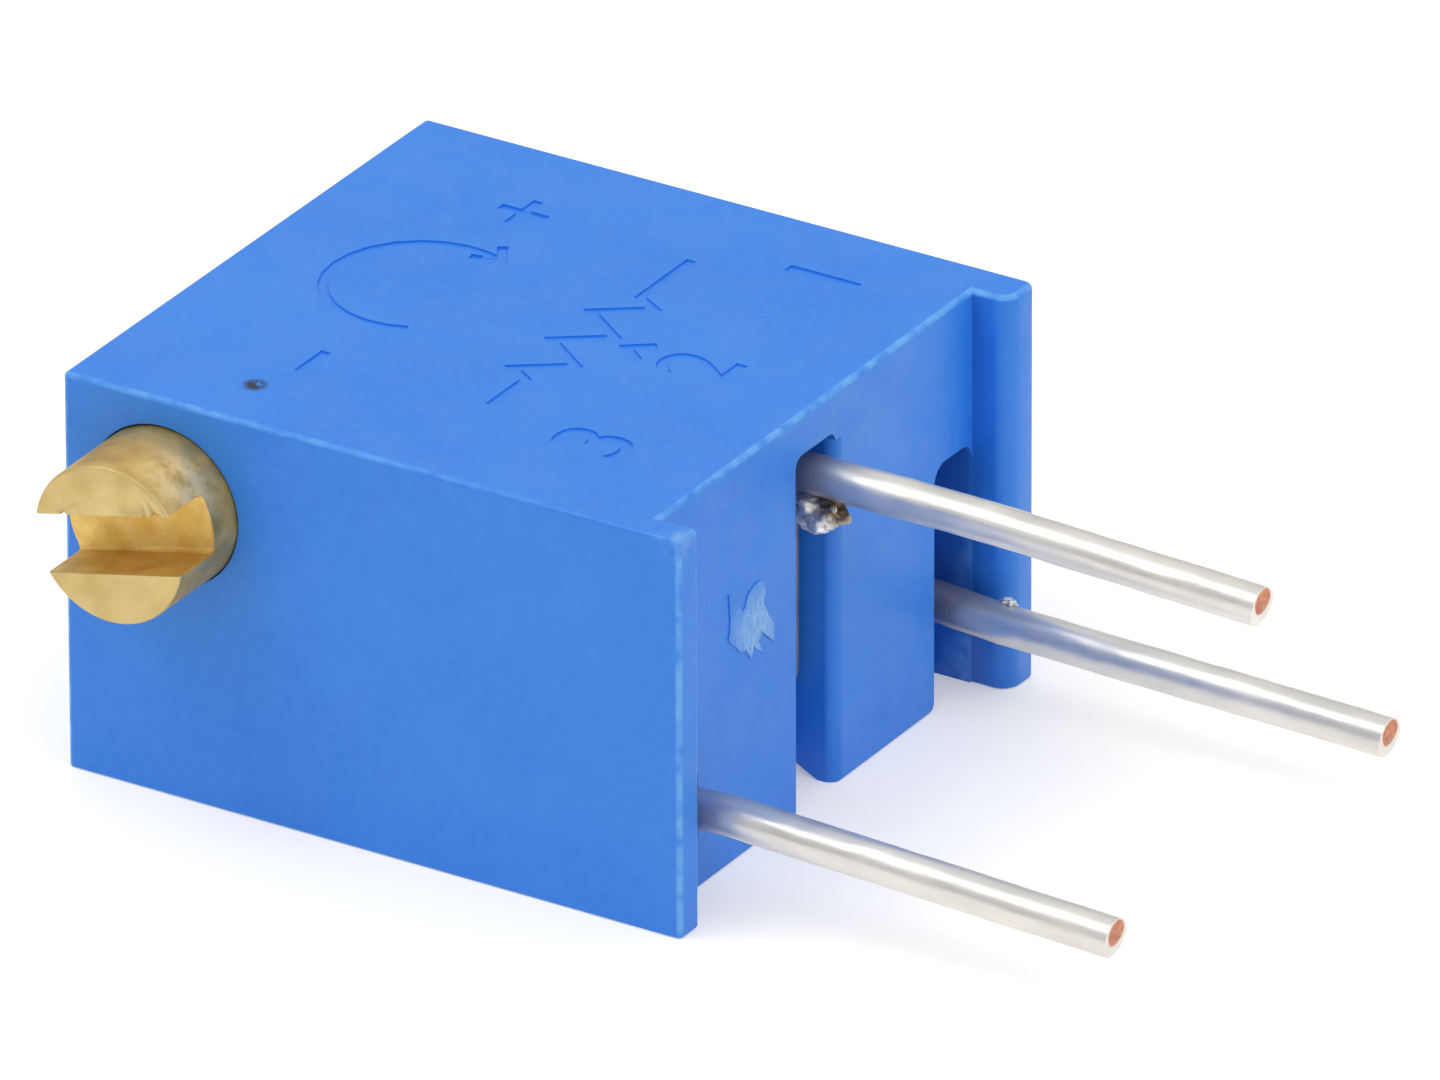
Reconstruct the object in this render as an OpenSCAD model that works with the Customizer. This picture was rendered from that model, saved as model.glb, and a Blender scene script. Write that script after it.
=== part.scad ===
// Square side-adjusted trimmer potentiometer with three wire pins, in millimetres.
// It lies on the face opposite its marked face. +X runs out along the pins, +Y runs from the
// screw towards the far side, and +Z is up. The origin is the middle of the resting face.

/* [Case] */
// Length of the moulded case along the pins, without its standoffs
case_l = 6.6; // [6.4:0.1:8]
// Width of the case along the adjusting screw
case_w = 6.6; // [6.4:0.1:8]
// Height of the case from the resting face to the marked face
case_h = 4.3; // [4.2:0.1:6]
// Radius of the upright corners of the case
corner_r = 0.06; // [0.03:0.01:0.2]
// Thickness of the side walls and the end wall
wall = 0.45; // [0.35:0.05:0.5]
// Thickness of the marked face over the rotor
top_wall = 0.55; // [0.45:0.05:0.7]
// Thickness of the wall that the pins come through
terminal_wall = 1.1; // [1.05:0.05:1.3]

/* [Standoffs] */
// How far the standoffs stand out of the terminal face
standoff_l = 0.43; // [0.3:0.01:0.8]
// Width of the standoff on the screw side
near_standoff_w = 0.35; // [0.25:0.01:0.4]
// Width of the standoff on the far side
far_standoff_w = 0.48; // [0.4:0.01:0.55]
// Radius of the far standoff's inner edge
far_standoff_r = 0.2; // [0.05:0.01:0.25]
// Radius of the far standoff's outer edge
far_corner_r = 0.1; // [0.03:0.01:0.2]

/* [Wire channels] */
// Width of the middle channel
mid_channel_w = 0.74; // [0.7:0.01:1.2]
// How far the middle channel sits from the middle pin towards the screw
mid_channel_aside = 0.11; // [0:0.01:0.15]
// Depth of the middle channel
mid_channel_depth = 0.82; // [0.75:0.01:0.85]
// Space from the middle pin's axis to the top of its channel
mid_channel_over = 0.38; // [0.3:0.01:0.4]
// Radius of the edge between the middle channel and the land beyond it
land_r = 0.16; // [0.05:0.01:0.25]
// Width of the far pin's channel
far_channel_w = 0.72; // [0.7:0.01:0.9]
// Distance from the marked face down to the top of the far pin's channel
far_channel_drop = 1.64; // [1.1:0.02:2.3]
// Width of the near pin's window
near_window_w = 0.66; // [0.65:0.01:0.9]
// Height of the near pin's window from its sill to its top
near_window_h = 0.72; // [0.7:0.01:1]
// Distance from the near pin's axis down to the sill of its window
near_window_under = 0.41; // [0.3:0.01:0.45]
// Depth of the far channel and the near window
side_channel_depth = 0.5; // [0.3:0.05:0.6]
// Radius of the upper corners of the channels and the window
channel_r = 0.1; // [0.02:0.01:0.2]

/* [Pins] */
// Diameter of the pin wire
wire_d = 0.41; // [0.4:0.01:0.45]
// Distance from each outer pin's axis to the side of the case beside it
pin_inset = 0.76; // [0.76:0.01:0.8]
// Depth of the outer pins' axes below the marked face, where they leave the case
pin_depth = 3.32; // [3.3:0.01:3.36]
// Rise of the middle pin above the outer pins
pin_rise = 2.5; // [2.4:0.01:2.54]
// Reach of the far pin beyond the standoffs
pin_reach = 4.48; // [3:0.1:8]
// How much longer the middle pin is cut, and how much shorter the near one
cut_spread = 0.05; // [0:0.01:0.1]
// Tilt of the outer pins inside the case's channels, down at the far pin and up at the near one, in degrees
pin_skew = 4; // [0.5:0.5:5]
// Distance past the standoffs at which the outer pins leave that tilt
pin_knee = 0.12; // [0.1:0.01:0.3]
// Downward lean of the far pin, in degrees
pin_1_lean = 1.1; // [0:0.05:3]
// Downward lean of the end of the middle pin, in degrees
pin_2_lean = 2; // [0:0.1:4]
// Downward lean of the near pin, in degrees
pin_3_lean = 2.1; // [0:0.1:3]
// Centreline radius of the middle pin's two right-angle bends
elbow_r = 0.34; // [0.3:0.01:0.4]
// Depth of the middle pin's upright run behind the terminal face
riser_depth = 0.5; // [0.45:0.01:0.55]
// Length of each wire under the ceramic
wire_inner_l = 0.95; // [0.7:0.05:1.2]

/* [Adjusting screw] */
// Distance from the screw's axis to the marked face and to the end wall
screw_inset = 1.15; // [1.12:0.01:1.2]
// Diameter of the slotted head
head_d = 1.68; // [1.6:0.01:1.8]
// How far the head stands out of the case
head_out = 1; // [0.6:0.05:1.5]
// Length of the head inside its bore
head_in = 0.55; // [0.4:0.05:0.6]
// Chamfer on the rim of the head
head_chamfer = 0.05; // [0.02:0.01:0.1]
// Width of the driver slot
slot_w = 0.62; // [0.4:0.01:0.7]
// Depth of the driver slot
slot_depth = 0.6; // [0.4:0.05:0.8]
// Turn of the driver slot from the length of the case, in degrees
slot_turn = 13; // [0:1:180]
// Radius of the groove under the sealing ring
groove_r = 0.5; // [0.42:0.01:0.55]
// Length of the sealing ring's groove
groove_l = 0.5; // [0.48:0.01:0.6]
// Radius of the two collars beside the retaining neck
collar_r = 0.77; // [0.7:0.01:0.8]
// Length of each collar
collar_l = 0.2; // [0.15:0.01:0.25]
// Radius of the retaining neck
neck_r = 0.42; // [0.35:0.01:0.45]
// Length of the retaining neck
neck_l = 0.3; // [0.28:0.01:0.34]
// Length of the journal past the worm
journal_l = 0.8; // [0.5:0.05:1]

/* [Worm drive] */
// Number of teeth on the wheel
wheel_teeth = 15; // [13:1:17]
// Pitch radius of the worm
worm_pitch_r = 0.55; // [0.52:0.01:0.6]
// Length of the worm
worm_l = 2.8; // [2.2:0.1:3]
// How far the rotor sits past the middle of the case, away from the screw head
wheel_y = 0.2; // [0:0.05:0.3]
// Pressure angle of the teeth, in degrees
pressure_angle = 20; // [15:1:25]
// Backlash between the worm and the wheel at the pitch line
backlash = 0.07; // [0.05:0.01:0.12]
// Radius of the fixed pivot that the rotor turns on
pivot_r = 0.45; // [0.3:0.01:0.6]
// Length of the fixed pivot
pivot_l = 1; // [0.7:0.05:1.05]
// Radius of the rotor's hub
hub_r = 1.1; // [0.95:0.01:1.2]

/* [Resistance element] */
// Thickness of the ceramic substrate
substrate_t = 0.635; // [0.5:0.005:0.68]
// Thickness of the printed tracks
print_t = 0.03; // [0.02:0.005:0.04]
// Width of the resistance track
track_w = 0.5; // [0.3:0.01:0.6]
// Travel of the wiper, in degrees
wiper_travel = 288; // [270:1:290]
// Radius of the printed collector
collector_r = 0.6; // [0.5:0.01:0.7]
// Width of the printed pads
pad_w = 0.5; // [0.4:0.01:0.54]
// Height of the space under the rotor's hub
wiper_room = 0.42; // [0.38:0.01:0.45]
// Thickness of the wiper's sheet metal
wiper_t = 0.07; // [0.05:0.005:0.09]
// Number of fingers on the track
track_fingers = 4; // [2:1:4]
// Radius of the solder joints
solder_r = 0.28; // [0.25:0.01:0.29]
// Thickness of the solder between a wire and its pad
solder_film = 0.02; // [0.01:0.005:0.03]

/* [Fits] */
// Running clearance of the screw's collars, journal and neck
screw_gap = 0.03; // [0.02:0.005:0.05]
// Clearance around the head in its bore
head_gap = 0.04; // [0.03:0.01:0.08]
// Running clearance of the rotor on its pivot
pivot_gap = 0.03; // [0.02:0.005:0.05]
// Clearance around the wheel in its pocket
rotor_gap = 0.08; // [0.06:0.01:0.1]
// Clearance around the ceramic, the clip and the wires
seat_gap = 0.02; // [0.01:0.005:0.03]

/* [Hidden] */
$fn = 48;
eps = 0.01;
corner_steps = 5;

// Case planes and the pocket for the ceramic and the sealing compound
half_l = case_l / 2;
half_w = case_w / 2;
pocket_x0 = -half_l + wall;
pocket_x1 = half_l - terminal_wall;
pocket_y = half_w - wall;
seat_x = half_l + standoff_l;
mid_channel_y0 = -mid_channel_w / 2 - mid_channel_aside;
mid_channel_y1 = mid_channel_w / 2 - mid_channel_aside;
far_channel_z1 = case_h - far_channel_drop;
wire_r = wire_d / 2;
wire_z = case_h - pin_depth;
mid_channel_z1 = wire_z + pin_rise + mid_channel_over;
pin_pitch = half_w - pin_inset;
near_window_z0 = wire_z - near_window_under;
substrate_z0 = wire_z + wire_r + solder_film + print_t;
substrate_z1 = substrate_z0 + substrate_t;
pocket_top = case_h - top_wall;

// Worm drive: the wheel fills the room between the worm and the terminal wall
addendum = 0.75;
dedendum = 0.9;
screw_x = -half_l + screw_inset;
screw_z = case_h - screw_inset;
tooth_module = (pocket_x1 - rotor_gap - screw_x - worm_pitch_r) / (wheel_teeth + addendum);
worm_lead = PI * tooth_module;
lead_angle = atan(worm_lead / (2 * PI * worm_pitch_r));
worm_r = worm_pitch_r + addendum * tooth_module;
worm_core_r = worm_pitch_r - dedendum * tooth_module;
tooth_t = worm_lead / 2 - backlash / 2;
wheel_pitch_r = wheel_teeth * tooth_module / 2;
wheel_r = wheel_pitch_r + addendum * tooth_module;
wheel_root_r = wheel_pitch_r - dedendum * tooth_module;
wheel_x = screw_x + worm_pitch_r + wheel_pitch_r;
rotor_pocket_r = wheel_r + rotor_gap;
wheel_z1 = pocket_top - rotor_gap;
wheel_z0 = 2 * screw_z - wheel_z1;
hub_z0 = substrate_z1 + wiper_room;
pivot_z0 = pocket_top - pivot_l;

// Stations along the screw, from the case's face inwards
head_r = head_d / 2;
head_bore_r = head_r + head_gap;
face_y = -half_w;
groove_y = face_y + head_in;
collar_y = groove_y + groove_l;
neck_y = collar_y + collar_l;
shoulder_y = neck_y + neck_l;
worm_y0 = wheel_y - worm_l / 2;
worm_y1 = wheel_y + worm_l / 2;
tunnel_r = max(worm_r, collar_r) + screw_gap;
tunnel_y1 = worm_y1 + 0.1;
clip_t = neck_l - 2 * screw_gap - 2 * seat_gap;
clip_y = neck_y + neck_l / 2;
clip_half_w = min(collar_r, tunnel_r) - 0.12;
clip_z0 = substrate_z1 + seat_gap;
clip_z1 = screw_z + sqrt(pow(tunnel_r, 2) - pow(clip_half_w, 2)) - 2 * seat_gap;

// Printed tracks and the wiper
track_r1 = wheel_root_r + 0.15;
track_r0 = track_r1 - track_w;
track_start = (360 - wiper_travel) / 2 - 6;
stop_half_angle = 10;
lug_half_angle = (360 - wiper_travel) / 2 - stop_half_angle - 1;
stop_r = (wheel_r + hub_r) / 2 + 0.1;
contact_z = substrate_z1 + print_t + seat_gap;
riser_x = half_l - riser_depth;
wire_x0 = pocket_x1 - wire_inner_l;
pad_x0 = wire_x0 - solder_r;
mid_back_x = half_l - mid_channel_depth;
side_back_x = half_l - side_channel_depth;

// Points on an arc of a circle, from one angle to another
function arc(x, y, r, from, to, steps = corner_steps) =
    [for (i = [0 : steps]) let (a = from + (to - from) * i / steps) [x + r * cos(a), y + r * sin(a)]];

// The case seen from above: a square block with a standoff at each end of its terminal face
module case_outline() {
    near_y = -half_w + near_standoff_w;
    far_y = half_w - far_standoff_w;
    r = corner_r;
    s = far_standoff_r;
    t = far_corner_r;
    polygon(concat(
        arc(-half_l + r, -half_w + r, r, 180, 270),
        arc(seat_x - r, -half_w + r, r, 270, 360),
        arc(seat_x - r, near_y - r, r, 0, 90),
        [[half_l, near_y], [half_l, far_y]],
        arc(seat_x - s, far_y + s, s, 270, 360),
        arc(seat_x - t, half_w - t, t, 0, 90),
        arc(-half_l + r, half_w - r, r, 90, 180)));
}

// An upright slot into the terminal face, with rounded upper corners
module channel(y0, y1, back_x, z0, z1) {
    r = channel_r;
    translate([back_x, 0, 0]) rotate([90, 0, 90]) linear_extrude(seat_x + eps - back_x)
        polygon(concat([[y0, z0], [y1, z0]], arc(y1 - r, z1 - r, r, 0, 90), arc(y0 + r, z1 - r, r, 90, 180)));
}

// What is cut away to round the land's upright edge beside the middle channel
module land_rounding(height) {
    r = land_r;
    translate([half_l - r, mid_channel_y1, -eps]) linear_extrude(height + eps)
        polygon(concat([[0, -eps], [r + eps, -eps], [r + eps, r]], arc(0, r, r, 0, -90)));
}

// A round bar along +X or along +Y
module bar_x(r, l) {
    rotate([0, 90, 0]) cylinder(h = l, r = r);
}
module bar_y(r, l) {
    rotate([-90, 0, 0]) cylinder(h = l, r = r);
}

// A slice of a ring that opens from the X axis to each side
module ring_sector(r0, r1, half_angle, h) {
    steps = 8;
    linear_extrude(h) polygon(concat(
        arc(0, 0, r1, -half_angle, half_angle, steps), arc(0, 0, r0, half_angle, -half_angle, steps)));
}

// Everything that the screw needs inside the case: bore, tunnel, end bearing and clip slot
module screw_cavity() {
    translate([screw_x, face_y - eps, screw_z]) bar_y(head_bore_r, head_in + groove_l + eps);
    translate([screw_x, collar_y - eps, screw_z]) bar_y(tunnel_r, tunnel_y1 - collar_y + eps);
    translate([screw_x, tunnel_y1 - eps, screw_z])
        bar_y(worm_core_r + screw_gap, worm_y1 + journal_l + seat_gap - tunnel_y1 + eps);
    slot_t = clip_t + 2 * seat_gap;
    slot_half_w = clip_half_w + seat_gap;
    translate([screw_x - slot_half_w, clip_y - slot_t / 2, substrate_z1 - eps])
        cube([2 * slot_half_w, slot_t, screw_z - substrate_z1]);
}

// The rotor's pocket, with its pivot and end stop left standing
module rotor_cavity() {
    stop_z0 = hub_z0 + 0.04;
    difference() {
        translate([wheel_x, wheel_y, substrate_z1 - eps])
            cylinder(h = pocket_top - substrate_z1 + eps, r = rotor_pocket_r);
        translate([wheel_x, wheel_y, pivot_z0]) cylinder(h = pivot_l + eps, r = pivot_r);
        translate([wheel_x, wheel_y, stop_z0])
            ring_sector(stop_r, rotor_pocket_r + wall, stop_half_angle, wheel_z0 - 0.05 - stop_z0);
    }
}

module housing() {
    color([0.25, 0.5, 0.88]) difference() {
        linear_extrude(case_h) case_outline();
        translate([pocket_x0, -pocket_y, -eps])
            cube([pocket_x1 - pocket_x0, 2 * pocket_y, substrate_z1 + eps]);
        // Relief over the printed pads, on the terminal side
        translate([wheel_x, -pocket_y, substrate_z1 - eps])
            cube([pocket_x1 - wheel_x, 2 * pocket_y, print_t + seat_gap + eps]);
        rotor_cavity();
        screw_cavity();
        channel(mid_channel_y0, mid_channel_y1, mid_back_x, -eps, mid_channel_z1);
        land_rounding(mid_channel_z1 - channel_r);
        channel(half_w - far_standoff_w - far_channel_w, half_w - far_standoff_w, side_back_x,
            -eps, far_channel_z1);
        channel(-half_w + near_standoff_w, -half_w + near_standoff_w + near_window_w, side_back_x,
            near_window_z0, near_window_z0 + near_window_h);
        for (y = [-pin_pitch, 0, pin_pitch])
            translate([wire_x0 - seat_gap, y, wire_z]) bar_x(wire_r + seat_gap, half_l - wire_x0);
    }
}

// The compound poured level with the rim to close the open face, around the wires and their joints
module bottom_seal() {
    color([0.2, 0.42, 0.75]) difference() {
        translate([pocket_x0, -pocket_y, 0])
            cube([pocket_x1 - pocket_x0, 2 * pocket_y, substrate_z0 - print_t]);
        for (y = [-pin_pitch, 0, pin_pitch]) {
            translate([wire_x0, y, wire_z]) bar_x(wire_r, terminal_wall + wire_inner_l);
            solder_ball(y);
        }
    }
}

// Turned in one piece: head, ring groove, collar, neck, shoulder, core and end journal
module screw_profile() {
    rotate([-90, 0, 0]) rotate_extrude() polygon([
        [0, face_y - head_out], [head_r - head_chamfer, face_y - head_out],
        [head_r, face_y - head_out + head_chamfer], [head_r, groove_y],
        [groove_r, groove_y], [groove_r, collar_y], [collar_r, collar_y], [collar_r, neck_y],
        [neck_r, neck_y], [neck_r, shoulder_y], [collar_r, shoulder_y], [collar_r, shoulder_y + collar_l],
        [worm_core_r, shoulder_y + collar_l], [worm_core_r, worm_y1 + journal_l], [0, worm_y1 + journal_l]]);
}

// The worm's thread: a trapezoid swept along a right-hand helix, fading out at both ends
module worm_thread() {
    steps_per_turn = 20;
    turns = (worm_l - tooth_t) / worm_lead;
    steps = ceil(turns * steps_per_turn);
    first_turn = (worm_y0 + tooth_t / 2 - wheel_y - worm_lead / 2) / worm_lead;
    root_r = worm_core_r - 0.06;
    flank = tan(pressure_angle);
    function crest(i) = let (fade = min(1, min(i, steps - i) / (steps_per_turn / 4)))
        worm_core_r + (worm_r - worm_core_r) * max(fade, 0.04);
    function ring(i) = let (turn = first_turn + turns * i / steps, a = 90 + 360 * turn,
            y = wheel_y + worm_lead * (turn + 0.5), top = crest(i),
            half_top = tooth_t / 2 - (top - worm_pitch_r) * flank,
            half_root = tooth_t / 2 + (worm_pitch_r - root_r) * flank)
        [for (p = [[root_r, -half_root], [top, -half_top], [top, half_top], [root_r, half_root]])
            [p[0] * sin(a), y + p[1], p[0] * cos(a)]];
    points = [for (i = [0 : steps], p = ring(i)) p];
    sides = [for (i = [0 : steps - 1], j = [0 : 3], k = [0, 1])
        let (a = 4 * i + j, b = 4 * i + (j + 1) % 4) k == 0 ? [a, b, a + 4] : [b, b + 4, a + 4]];
    last = 4 * steps;
    ends = [[2, 1, 0], [3, 2, 0], [last, last + 1, last + 2], [last, last + 2, last + 3]];
    polyhedron(points, concat(sides, ends));
}

module adjustment_screw() {
    color([0.83, 0.7, 0.4]) translate([screw_x, 0, screw_z]) difference() {
        union() {
            screw_profile();
            worm_thread();
        }
        rotate([0, -slot_turn, 0]) translate([-head_d, face_y - head_out - eps, -slot_w / 2])
            cube([2 * head_d, slot_depth + eps, slot_w]);
    }
}

module screw_o_ring() {
    ring_r = (head_bore_r - groove_r - seat_gap) / 2;
    color([0.12, 0.12, 0.13]) translate([screw_x, groove_y + groove_l / 2, screw_z]) rotate([-90, 0, 0])
        rotate_extrude() translate([groove_r + seat_gap / 2 + ring_r, 0]) circle(ring_r);
}

// A flat U that drops over the screw's neck and stands on the ceramic
module screw_clip() {
    fork_r = neck_r + screw_gap;
    color([0.75, 0.75, 0.78]) translate([screw_x, clip_y + clip_t / 2, 0]) rotate([90, 0, 0])
        linear_extrude(clip_t) difference() {
            translate([-clip_half_w, clip_z0]) square([2 * clip_half_w, clip_z1 - clip_z0]);
            translate([0, screw_z]) circle(fork_r);
            translate([-fork_r, screw_z]) square([2 * fork_r, clip_z1 - screw_z + eps]);
        }
}

// One wheel tooth pointing along +X, leaning by the worm's lead angle
module wheel_tooth() {
    flank = tan(pressure_angle);
    r0 = wheel_root_r - 0.1;
    half_root = tooth_t / 2 + (wheel_pitch_r - r0) * flank;
    half_tip = tooth_t / 2 - (wheel_r + 0.05 - wheel_pitch_r) * flank;
    tooth_l = (wheel_z1 - wheel_z0) * 1.3;
    translate([0, 0, screw_z]) rotate([-lead_angle, 0, 0]) translate([0, 0, -tooth_l / 2])
        linear_extrude(tooth_l) polygon([[r0, -half_root], [wheel_r + 0.05, -half_tip],
            [wheel_r + 0.05, half_tip], [r0, half_root]]);
}

// The rotor: a toothed rim on a hub, a blind bore for the pivot, a stop lug and two wiper rivets
module worm_wheel() {
    rivet_r = 0.1;
    color([0.93, 0.93, 0.88]) translate([wheel_x, wheel_y, 0]) difference() {
        union() {
            intersection() {
                union() for (i = [0 : wheel_teeth - 1]) rotate([0, 0, 180 + i * 360 / wheel_teeth]) wheel_tooth();
                translate([0, 0, wheel_z0]) cylinder(h = wheel_z1 - wheel_z0, r = wheel_r);
            }
            translate([0, 0, wheel_z0]) cylinder(h = wheel_z1 - wheel_z0, r = wheel_root_r);
            translate([0, 0, hub_z0]) cylinder(h = wheel_z0 - hub_z0 + eps, r = hub_r);
            translate([0, 0, hub_z0]) rotate([0, 0, 180])
                ring_sector(hub_r - 0.1, stop_r + 0.15, lug_half_angle, wheel_z0 - hub_z0 + eps);
            for (y = [-1, 1]) translate([0, y * hub_r * 0.7, hub_z0 - 2 * wiper_t])
                cylinder(h = 2 * wiper_t + eps, r = rivet_r);
        }
        translate([0, 0, pivot_z0 - seat_gap]) cylinder(h = case_h, r = pivot_r + pivot_gap);
    }
}

// A spring finger: it leaves the sheet, slopes down to its contact and curls up at its tip
module finger(x, y_root, y_contact, w) {
    rise = hub_z0 - wiper_t;
    way = sign(y_contact - y_root);
    curl = 0.1;
    low = contact_z;
    translate([x + w / 2, 0, 0]) rotate([90, 0, -90]) linear_extrude(w) polygon([
        [-y_root, rise], [-y_contact, low], [-y_contact - way * curl, low + curl],
        [-y_contact - way * curl, low + curl + wiper_t], [-y_contact, low + wiper_t], [-y_root, rise + wiper_t]]);
}

// Stamped sheet under the rotor: fingers on the track and on the collector, joined by one plate
module wiper() {
    finger_w = 0.08;
    track_r = (track_r0 + track_r1) / 2;
    finger_pitch = (track_w - 0.1) / 4;
    root_y = -0.75;
    hole_r = 0.1 + seat_gap;
    plate_r = hub_r * 0.92;
    window = 0.34;
    color([0.86, 0.8, 0.62]) translate([wheel_x, wheel_y, 0]) union() {
        translate([0, 0, hub_z0 - wiper_t]) linear_extrude(wiper_t) difference() {
            union() {
                circle(plate_r);
                translate([-track_r - track_w / 2, root_y - 0.1]) square([track_r + track_w / 2, 0.3]);
            }
            for (y = [-1, 1]) translate([0, y * hub_r * 0.7]) circle(hole_r);
            translate([-window, -0.35]) square([2 * window, 0.7]);
        }
        for (i = [0 : track_fingers - 1])
            finger(-track_r + (i - (track_fingers - 1) / 2) * finger_pitch, root_y, 0, finger_w);
        for (i = [-1, 0, 1]) finger(i * 0.16, -0.4, 0.05, finger_w);
    }
}

module substrate() {
    color([0.95, 0.95, 0.93]) translate([pocket_x0 + seat_gap, -pocket_y + seat_gap, substrate_z0])
        cube([pocket_x1 - pocket_x0 - 2 * seat_gap - print_t, 2 * pocket_y - 2 * seat_gap, substrate_t]);
}

// A horseshoe of cermet ink, open towards the pins
module resistance_track() {
    steps = 40;
    color([0.2, 0.2, 0.22]) translate([wheel_x, wheel_y, substrate_z1]) linear_extrude(print_t)
        polygon(concat(arc(0, 0, track_r1, track_start, 360 - track_start, steps),
            arc(0, 0, track_r0, 360 - track_start, track_start, steps)));
}

// The part of a printed pad that folds over the ceramic's edge and runs under it to the wire
module pad_wrap(y) {
    edge_x = pocket_x1 - seat_gap - print_t;
    translate([edge_x, y - pad_w / 2, substrate_z0 - print_t]) cube([print_t, pad_w, substrate_t + 2 * print_t]);
    translate([pad_x0, y - pad_w / 2, substrate_z0 - print_t]) cube([edge_x - pad_x0 + eps, pad_w, print_t]);
}

// A printed end pad: from the end of the track to the edge of the ceramic, and round it
module end_pad(side) {
    edge_x = pocket_x1 - seat_gap - print_t;
    margin = 0.1;
    y_pad = side * pin_pitch;
    y0 = y_pad - side * pad_w / 2;
    y1 = y_pad + side * pad_w / 2;
    along = [sin(track_start), -side * cos(track_start)];
    tip = [wheel_x + track_r1 * cos(track_start), wheel_y + side * track_r1 * sin(track_start)];
    heel = [wheel_x + track_r0 * cos(track_start), wheel_y + side * track_r0 * sin(track_start)];
    color([0.78, 0.78, 0.76]) union() {
        translate([0, 0, substrate_z1]) linear_extrude(print_t) polygon([
            heel, heel + margin * along, [edge_x - margin, tip[1]], [edge_x - margin, y0],
            [edge_x + eps, y0], [edge_x + eps, y1], [edge_x - 3 * margin, y1], tip]);
        pad_wrap(y_pad);
    }
}

// The printed collector under the rotor's centre and its lead out between the ends of the track
module collector_track() {
    edge_x = pocket_x1 - seat_gap - print_t;
    lead_w = 0.4;
    color([0.78, 0.78, 0.76]) union() {
        translate([0, 0, substrate_z1]) linear_extrude(print_t) union() {
            translate([wheel_x, wheel_y]) circle(collector_r);
            polygon([[wheel_x, wheel_y - lead_w / 2], [edge_x - 0.3, -pad_w / 2], [edge_x + eps, -pad_w / 2],
                [edge_x + eps, pad_w / 2], [edge_x - 0.3, pad_w / 2], [wheel_x, wheel_y + lead_w / 2]]);
        }
        pad_wrap(0);
    }
}

// A wire that starts along +X: each step is a straight length or a bend in the XZ plane.
// A bend is [angle, centreline radius], with positive angles turning towards +Z.
module wire(steps, i = 0) {
    if (i < len(steps)) {
        step = steps[i];
        if (is_num(step)) {
            bar_x(wire_r, step);
            translate([step, 0, 0]) wire(steps, i + 1);
        } else {
            up = step[0] > 0 ? 1 : -1;
            a = abs(step[0]);
            r = step[1];
            mirror([0, 0, up > 0 ? 0 : 1]) {
                translate([0, 0, r]) rotate([90, 0, 0]) rotate([0, 0, -90])
                    rotate_extrude(angle = a) translate([r, 0]) circle(wire_r);
                translate([r * sin(a), 0, r * (1 - cos(a))]) rotate([0, -a, 0])
                    mirror([0, 0, up > 0 ? 0 : 1]) wire(steps, i + 1);
            }
        }
    }
}

// An outer pin: straight through the wall, a little up or down to just past the seat, then a slow lean
module side_pin(y, skew, lean, tail) {
    bend_r = 1;
    bends_l = bend_r * (sin(abs(skew)) + sin(abs(skew + lean)));
    root_l = seat_x + pin_knee - side_back_x - bends_l;
    color([0.82, 0.81, 0.78]) translate([wire_x0, y, wire_z])
        wire([side_back_x - wire_x0, [skew, bend_r], root_l, [-skew - lean, bend_r], tail]);
}

module pin_1() {
    side_pin(pin_pitch, -pin_skew, pin_1_lean, pin_reach - pin_knee);
}

module pin_3() {
    side_pin(-pin_pitch, pin_skew, pin_3_lean, pin_reach - pin_knee - cut_spread);
}

// The middle pin: out under the ceramic, up its channel, out again, and a slow lean at its end
module pin_2() {
    straight = 1.6;
    bend_r = 20;
    bend_l = bend_r * sin(pin_2_lean);
    tail = seat_x + pin_reach + cut_spread - riser_x - elbow_r - straight - bend_l;
    color([0.82, 0.81, 0.78]) translate([wire_x0, 0, wire_z])
        wire([riser_x - elbow_r - wire_x0, [90, elbow_r], pin_rise - 2 * elbow_r, [-90, elbow_r],
            straight, [-pin_2_lean, bend_r], tail]);
}

// The round underside of a solder joint, hanging from its pad at the wire's inner end
module solder_ball(y) {
    pad_z = substrate_z0 - print_t;
    translate([wire_x0 + 0.05, y, pad_z]) intersection() {
        sphere(solder_r);
        translate([-solder_r, -solder_r, -solder_r]) cube([2 * solder_r, 2 * solder_r, solder_r]);
    }
}

module solder_joint(y) {
    color([0.7, 0.71, 0.72]) difference() {
        solder_ball(y);
        translate([wire_x0, y, wire_z]) bar_x(wire_r, wire_inner_l);
    }
}

module solder_1() {
    solder_joint(pin_pitch);
}

module solder_2() {
    solder_joint(0);
}

module solder_3() {
    solder_joint(-pin_pitch);
}

// A bead of spare solder in the crook of the middle pin's upper bend
module solder_bead() {
    bead_r = elbow_r - wire_r - seat_gap;
    crook = [riser_x + elbow_r, 0, wire_z + pin_rise - elbow_r];
    color([0.62, 0.6, 0.56]) hull() {
        translate(crook) sphere(bead_r, $fn = 16);
        translate(crook + [0.2, 0, -0.06]) sphere(bead_r * 0.8, $fn = 16);
        translate(crook + [0.1, 0, -0.15]) sphere(bead_r, $fn = 16);
    }
}

module end_pad_1() {
    end_pad(1);
}

module end_pad_3() {
    end_pad(-1);
}

housing();
bottom_seal();
adjustment_screw();
screw_o_ring();
screw_clip();
worm_wheel();
wiper();
substrate();
resistance_track();
collector_track();
end_pad_1();
end_pad_3();
pin_1();
pin_2();
pin_3();
solder_1();
solder_2();
solder_3();
solder_bead();
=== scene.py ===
import math

import bmesh
import bpy
from mathutils import Matrix, Vector, noise


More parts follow.
